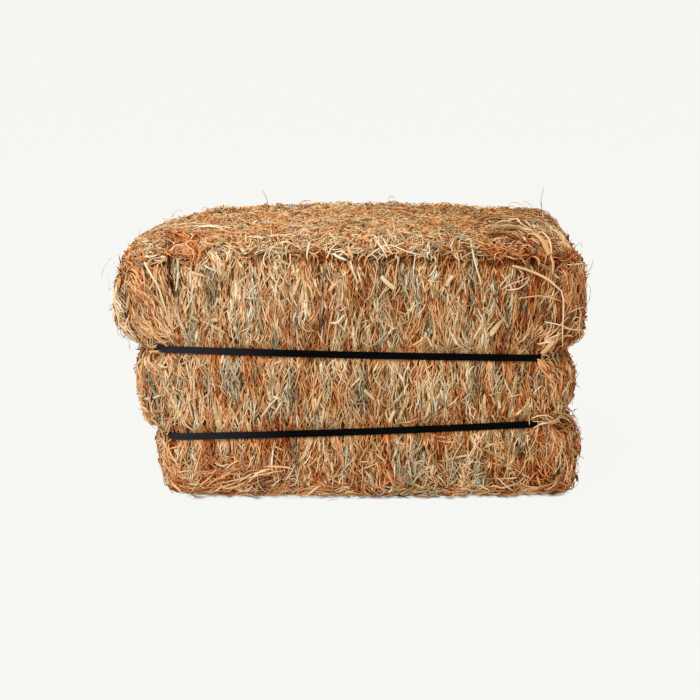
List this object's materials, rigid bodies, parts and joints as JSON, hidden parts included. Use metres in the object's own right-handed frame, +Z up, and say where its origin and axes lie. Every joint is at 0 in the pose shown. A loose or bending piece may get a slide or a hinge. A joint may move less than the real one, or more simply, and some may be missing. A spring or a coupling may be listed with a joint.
{
  "type": "wood wool bale",
  "caption": "Pressed block of curled pine wood wool, three soft lobes high, held lengthways by two flat black plastic straps that bite into its ends.",
  "frame": {"origin": "on the floor, under the middle of the bale", "axes": "+X along the bale's length and the straps, +Y from the front face to the back, +Z up"},
  "size_m": [0.8148, 0.4133, 0.4622],
  "materials": {
    "wood_wool": "raw pine strands, matt",
    "strap": "black polypropylene band, slight sheen"
  },
  "bodies": {
    "root": {"wood_wool": "wood_wool", "strap_upper": "strap", "strap_lower": "strap"}
  },
  "joints": []
}
